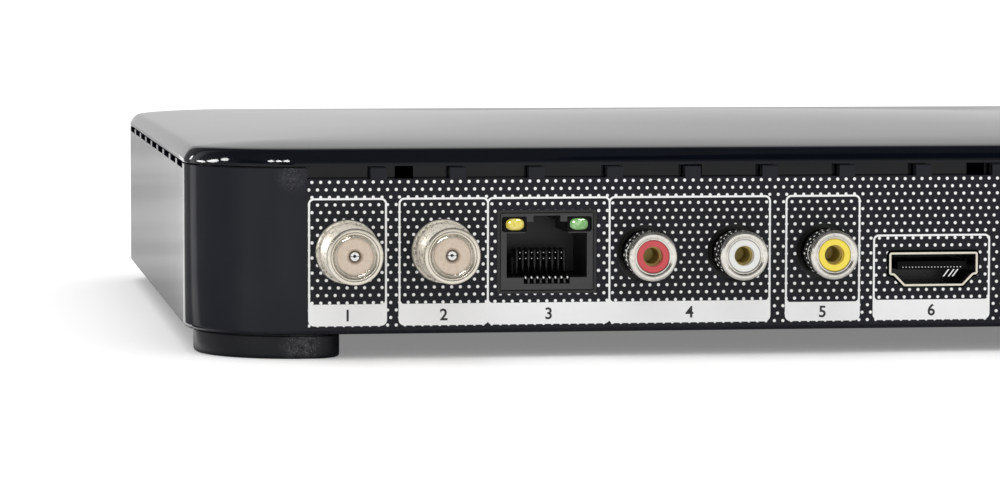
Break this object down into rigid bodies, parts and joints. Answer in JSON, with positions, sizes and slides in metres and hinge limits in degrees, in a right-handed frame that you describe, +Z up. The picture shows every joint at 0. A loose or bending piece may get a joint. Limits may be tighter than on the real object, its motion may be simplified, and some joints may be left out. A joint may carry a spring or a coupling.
{
  "type": "satellite television receiver",
  "caption": "Flat black satellite television receiver with rounded corners, air slots, rear coaxial, network, phono and television sockets, front buttons and a rocker switch.",
  "frame": {"origin": "on the plane under the feet, in the middle of the box that holds the receiver and its sockets", "axes": "+X across the case, to the right of someone who faces the front; +Y towards the rear sockets; +Z up"},
  "size_m": [0.223, 0.203, 0.0379],
  "materials": {
    "case_plastic": "moulded black plastic with a satin sheen",
    "cover_gloss": "piano black, polished",
    "label_film": "satin black film with a printed dot pattern",
    "foot_rubber": "matte",
    "screw_steel": "zinc plated",
    "board_green": "soldermask with copper traces",
    "chip_black": "moulded epoxy",
    "sink_aluminium": "extruded",
    "capacitor_sleeve": "bare can",
    "tinned_steel": "tin plated sheet",
    "nickel": "bright nickel plate",
    "insulator_tan": "moulded tan plastic",
    "contact_gold": "gold flash",
    "socket_grey": "dark moulded plastic",
    "socket_black": "moulded black plastic",
    "led_yellow": "tinted lens",
    "led_green": "tinted lens",
    "insert_red": "moulded",
    "insert_white": "moulded",
    "insert_yellow": "moulded",
    "insert_orange": "moulded",
    "tongue_white": "moulded",
    "rocker_black": "moulded with a fine grain",
    "panel_gloss": "polished black",
    "window_smoke": "smoked lens",
    "lens_red": "clear red light guide",
    "receiver_black": "dark tinted epoxy",
    "button_plastic": "satin black",
    "header_white": "moulded nylon",
    "ribbon_grey": "flat cable"
  },
  "bodies": {
    "case": {"bottom_case": "case_plastic", "top_cover": "cover_gloss", "rear_label": "label_film", "foot_rear_right": "foot_rubber", "foot_front_right": "foot_rubber", "foot_rear_left": "foot_rubber", "foot_front_left": "foot_rubber", "case_screws": "screw_steel", "board_screws": "screw_steel", "main_board": "board_green", "main_chip": "chip_black", "heat_sink": "sink_aluminium", "capacitors": "capacitor_sleeve", "coils": "chip_black", "tuner_can": "tinned_steel", "loop_barrel": "nickel", "loop_insulator": "insulator_tan", "loop_contact": "contact_gold", "lnb_barrel": "nickel", "lnb_insulator": "insulator_tan", "lnb_contact": "contact_gold", "ethernet_housing": "socket_grey", "ethernet_contacts": "contact_gold", "ethernet_led_yellow": "led_yellow", "ethernet_led_green": "led_green", "audio_right_barrel": "nickel", "audio_right_insert": "insert_red", "audio_left_barrel": "nickel", "audio_left_insert": "insert_white", "audio_contacts": "contact_gold", "audio_block": "socket_black", "video_barrel": "nickel", "video_insert": "insert_yellow", "video_contact": "contact_gold", "video_block": "socket_black", "digital_barrel": "nickel", "digital_insert": "insert_orange", "digital_contact": "contact_gold", "digital_block": "socket_black", "hdmi_shell": "contact_gold", "hdmi_tongue": "socket_black", "usb_shell": "tinned_steel", "usb_tongue": "tongue_white", "power_jack_housing": "socket_black", "power_jack_pin": "nickel", "switch_housing": "socket_black", "front_panel": "panel_gloss", "display_window": "window_smoke", "standby_lens": "lens_red", "tact_switches": "chip_black", "front_board": "board_green", "display_module": "chip_black", "ir_receiver": "receiver_black", "ribbon_headers": "header_white", "front_ribbon": "ribbon_grey"},
    "power_button": {"power_button": "button_plastic"},
    "channel_down_button": {"channel_down_button": "button_plastic"},
    "channel_up_button": {"channel_up_button": "button_plastic"},
    "rocker": {"switch_rocker": "rocker_black"}
  },
  "joints": [
    {"name": "power_button_press", "type": "slide", "parent": "case", "child": "power_button", "axis": [0, 1, 0], "range_m": [0, 0.0006], "stiffness_N_per_m": 300},
    {"name": "channel_down_button_press", "type": "slide", "parent": "case", "child": "channel_down_button", "axis": [0, 1, 0], "range_m": [0, 0.0006], "stiffness_N_per_m": 300},
    {"name": "channel_up_button_press", "type": "slide", "parent": "case", "child": "channel_up_button", "axis": [0, 1, 0], "range_m": [0, 0.0006], "stiffness_N_per_m": 300},
    {"name": "rocker_tilt", "type": "hinge", "parent": "case", "child": "rocker", "pos_m": [-0.0843, 0.08847, 0.0176], "axis": [1, 0, 0], "range_deg": [0, 18]}
  ]
}
